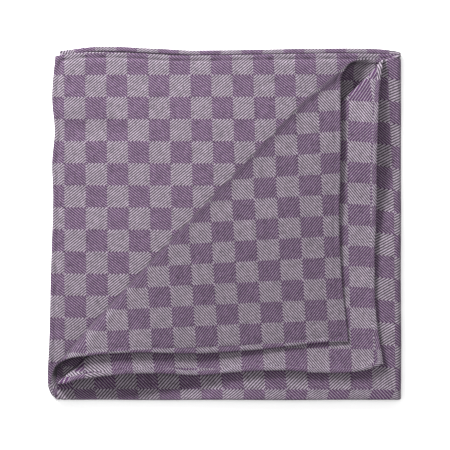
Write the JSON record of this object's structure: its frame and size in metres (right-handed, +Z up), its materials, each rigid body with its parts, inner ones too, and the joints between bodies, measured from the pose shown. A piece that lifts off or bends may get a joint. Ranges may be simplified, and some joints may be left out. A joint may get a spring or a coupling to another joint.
{
  "type": "folded pocket square",
  "caption": "Checked cotton pocket square with a hand-rolled hem, folded in quarters and laid flat, with the free corners of its upper plies turned back over the diagonal.",
  "frame": {"origin": "on the surface that the folded cloth lies on, under the middle of its outline", "axes": "+Z up from that surface, +X towards the double fold at the right, +Y towards the hems at the top"},
  "size_m": [0.167, 0.1682, 0.0121],
  "materials": {
    "checked_twill": "matt two-tone twill check in light lavender grey and muted purple"
  },
  "bodies": {
    "root": {"pocket_square": "checked_twill"}
  },
  "joints": []
}
